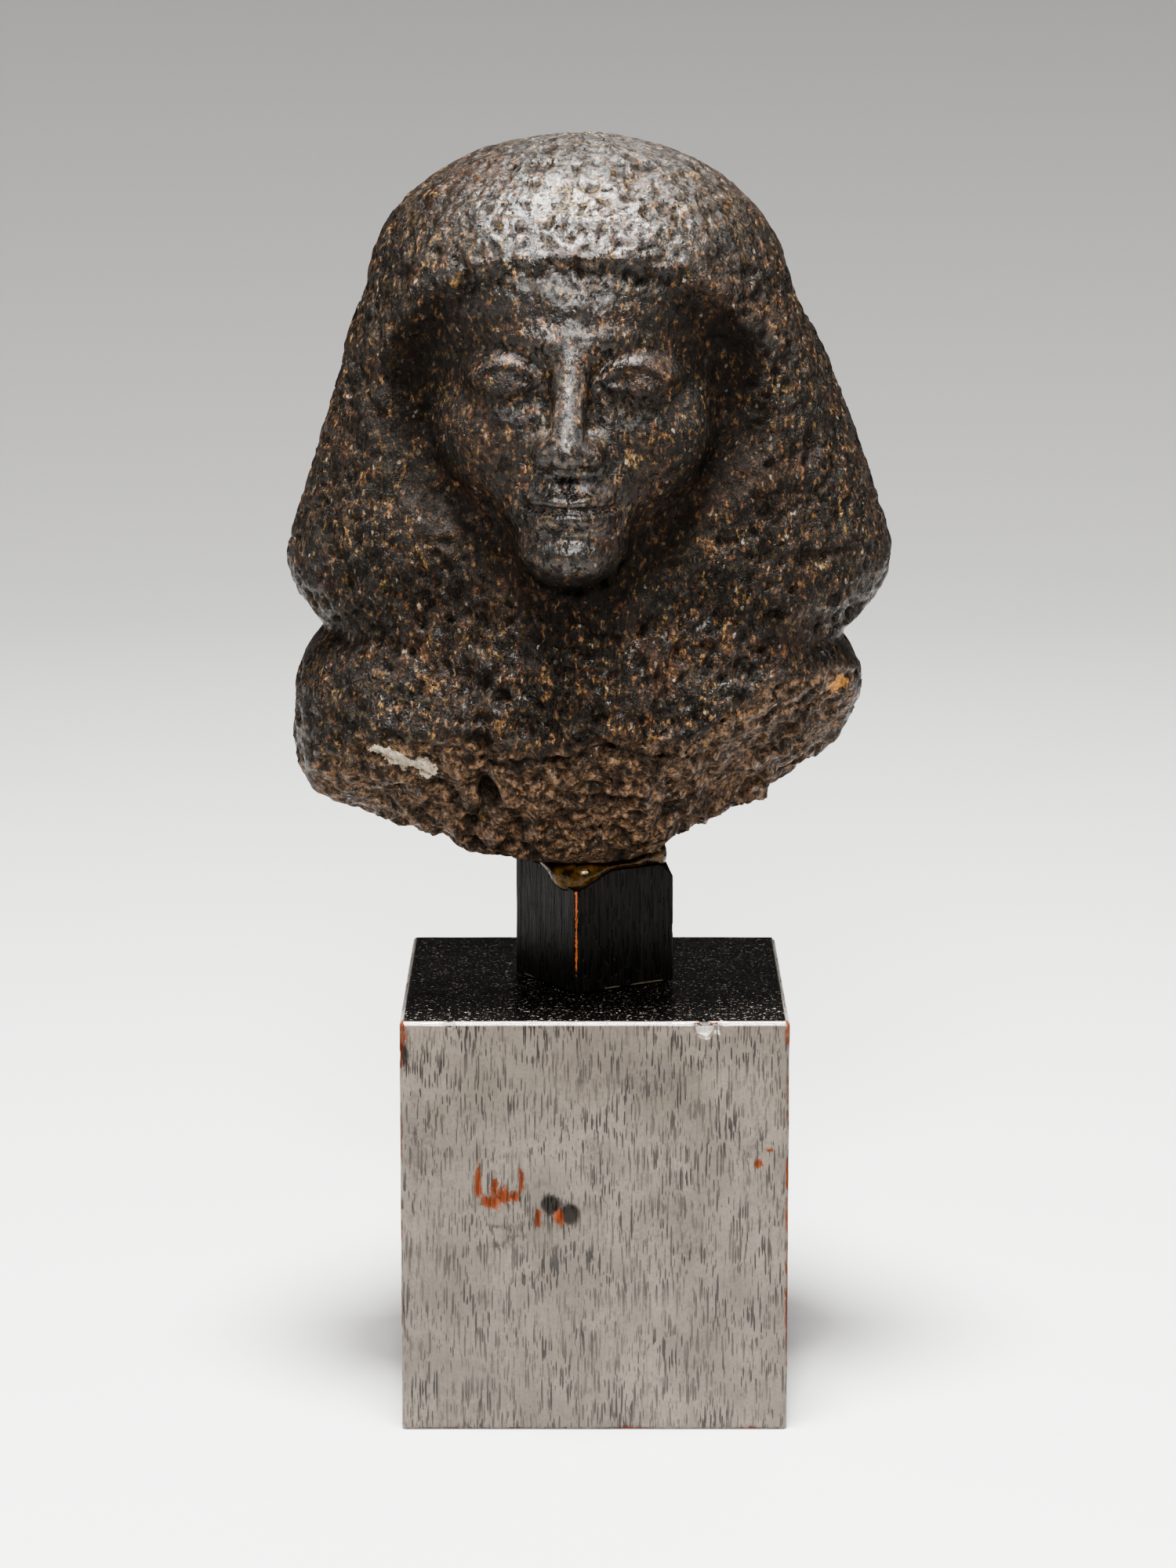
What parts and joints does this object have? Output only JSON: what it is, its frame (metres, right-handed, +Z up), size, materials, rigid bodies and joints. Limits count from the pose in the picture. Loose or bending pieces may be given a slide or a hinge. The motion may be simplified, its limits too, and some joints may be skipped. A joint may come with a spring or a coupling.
{
  "type": "granite head sculpture",
  "caption": "Dark granite head in a shoulder-length wig, broken off across the shoulders, bedded in resin on a square wooden post and block.",
  "frame": {"origin": "centre of the block's underside", "axes": "+Z up, the face looks along -Y, +X to the viewer's right"},
  "size_m": [0.1423, 0.1082, 0.2985],
  "materials": {
    "granite": "worn polish, pitted",
    "resin": "glossy",
    "post_wood": "ebonised, satin",
    "block_wood": "ebonised, satin lacquer"
  },
  "bodies": {
    "root": {"granite_head": "granite", "resin_bed": "resin", "mount_post": "post_wood", "base_block": "block_wood"}
  },
  "joints": []
}
